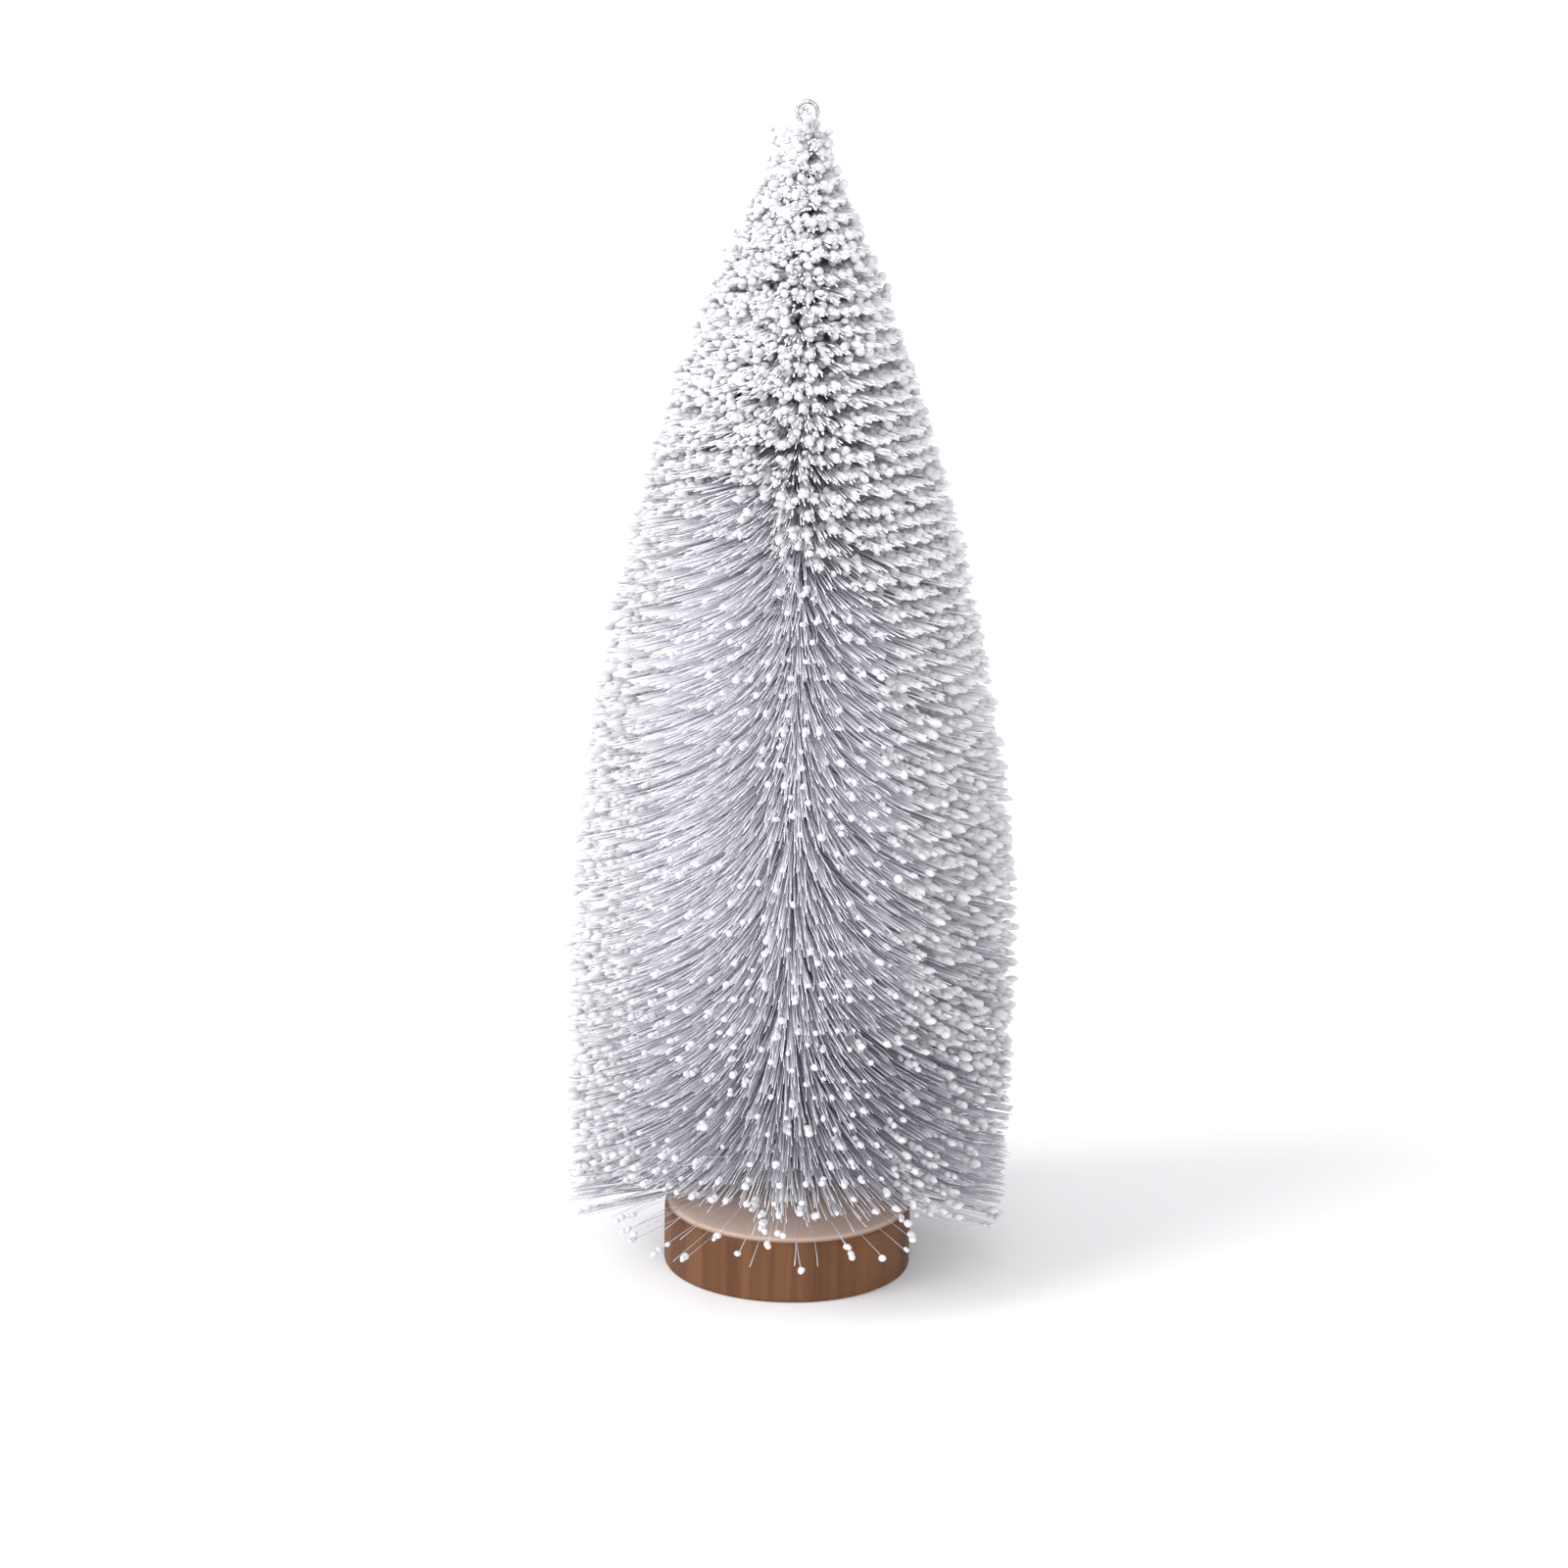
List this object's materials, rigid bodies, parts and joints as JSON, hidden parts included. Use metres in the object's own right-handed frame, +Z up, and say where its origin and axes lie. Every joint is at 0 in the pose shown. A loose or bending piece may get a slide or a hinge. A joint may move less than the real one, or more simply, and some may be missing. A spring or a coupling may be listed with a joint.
{
  "type": "artificial tabletop tree",
  "caption": "Slim snow-flocked bottle-brush tree: bristles spiral round a twisted wire stem with a small eye on top, glued into a round wooden foot.",
  "frame": {"origin": "middle of the flat underside of the wooden foot, where the tree stands on a table", "axes": "+Z up along the stem to the wire eye at the tip; the eye lies in the XZ plane and is seen face-on from the front, -Y; +X to the viewer's right"},
  "size_m": [0.11, 0.11, 0.3],
  "materials": {
    "wood": "sanded, unvarnished light brown wood cut across the grain",
    "galvanised_wire": "dull galvanised wire",
    "hot_melt_glue": "cloudy hot-melt glue",
    "bristle": "cool white plastic fibres with a dusting of snow flock",
    "snow_flock": "matt white snow flock in soft clumps"
  },
  "bodies": {
    "root": {"wood_foot": "wood", "twisted_wire_stem": "galvanised_wire", "glue_sleeve": "hot_melt_glue", "bristle_turn_01": "bristle", "bristle_turn_02": "bristle", "bristle_turn_03": "bristle", "bristle_turn_04": "bristle", "bristle_turn_05": "bristle", "bristle_turn_06": "bristle", "bristle_turn_07": "bristle", "bristle_turn_08": "bristle", "bristle_turn_09": "bristle", "bristle_turn_10": "bristle", "bristle_turn_11": "bristle", "bristle_turn_12": "bristle", "bristle_turn_13": "bristle", "bristle_turn_14": "bristle", "bristle_turn_15": "bristle", "bristle_turn_16": "bristle", "bristle_turn_17": "bristle", "bristle_turn_18": "bristle", "bristle_turn_19": "bristle", "bristle_turn_20": "bristle", "bristle_turn_21": "bristle", "bristle_turn_22": "bristle", "bristle_turn_23": "bristle", "bristle_turn_24": "bristle", "bristle_turn_25": "bristle", "bristle_turn_26": "bristle", "bristle_turn_27": "bristle", "bristle_turn_28": "bristle", "bristle_turn_29": "bristle", "bristle_turn_30": "bristle", "bristle_turn_31": "bristle", "bristle_turn_32": "bristle", "bristle_turn_33": "bristle", "flock_in_eye": "snow_flock"}
  },
  "joints": []
}
